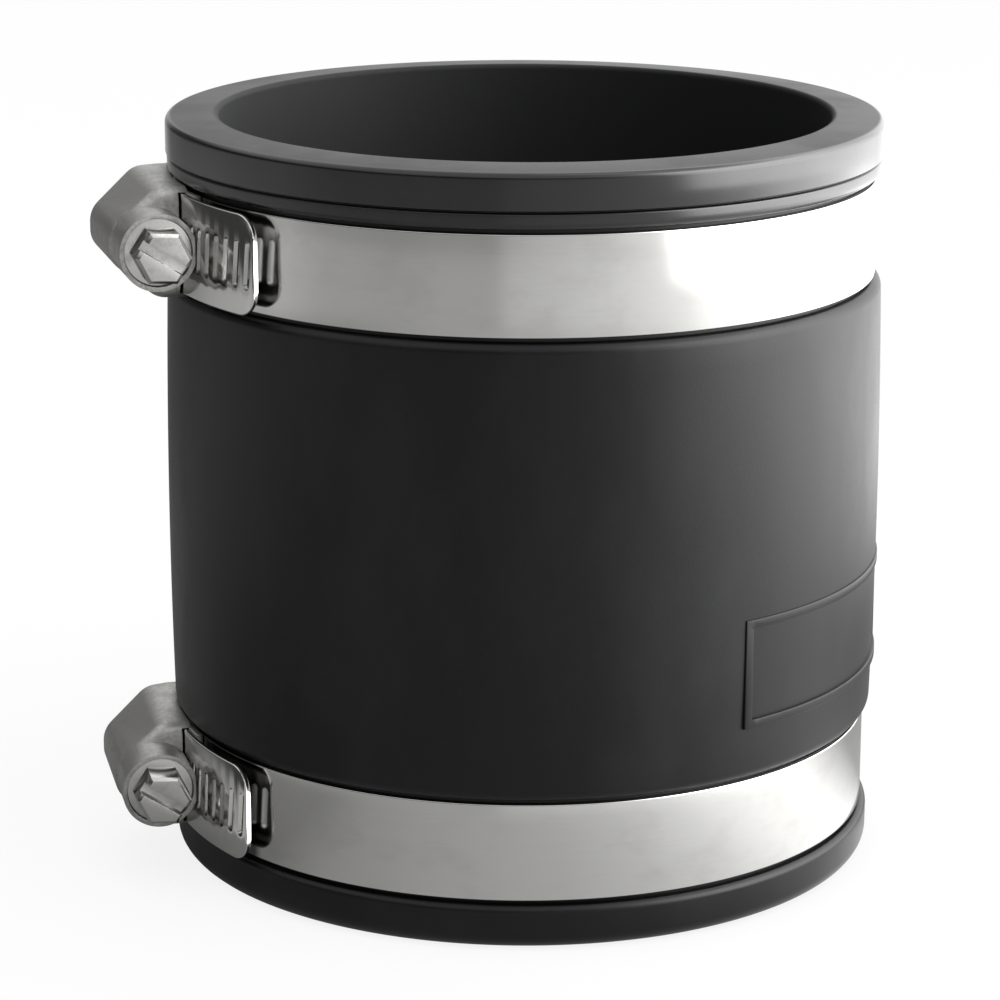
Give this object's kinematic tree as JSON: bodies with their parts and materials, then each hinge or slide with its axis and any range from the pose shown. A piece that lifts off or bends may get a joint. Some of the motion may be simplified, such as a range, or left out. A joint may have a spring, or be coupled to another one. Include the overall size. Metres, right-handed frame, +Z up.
{
  "type": "rubber straight coupling",
  "caption": "Moulded rubber sleeve that joins plain pipe ends, held by slotted steel band clamps with worm screws.",
  "frame": {"origin": "on the bore's axis, in the plane of the lower end face", "axes": "+Z up along the bore; -X out through the upper clamp's screw housing; -Y the way its screw head points"},
  "size_m": [0.1157, 0.1052, 0.11],
  "materials": {
    "rubber": "matt moulded black rubber with a faint sheen",
    "band_steel": "bright rolled stainless strip",
    "housing_steel": "pressed stainless sheet, dull and finely mottled",
    "screw_steel": "bright zinc-plated steel"
  },
  "bodies": {
    "coupling": {"rubber_sleeve": "rubber", "upper_band": "band_steel", "upper_saddle": "housing_steel", "upper_housing": "housing_steel", "lower_band": "band_steel", "lower_saddle": "housing_steel", "lower_housing": "housing_steel"},
    "upper_screw": {"upper_screw": "screw_steel"},
    "lower_screw": {"lower_screw": "screw_steel"}
  },
  "joints": [
    {"name": "upper_screw_turn", "type": "hinge", "parent": "coupling", "child": "upper_screw", "pos_m": [-0.0569, 0, 0.0942], "axis": [0, 1, 0], "continuous": true, "deforming": ["upper_band"]},
    {"name": "lower_screw_turn", "type": "hinge", "parent": "coupling", "child": "lower_screw", "pos_m": [-0.0568, 0.00337, 0.0141], "axis": [0.0593, 0.9982, 0], "continuous": true, "deforming": ["lower_band"]}
  ]
}
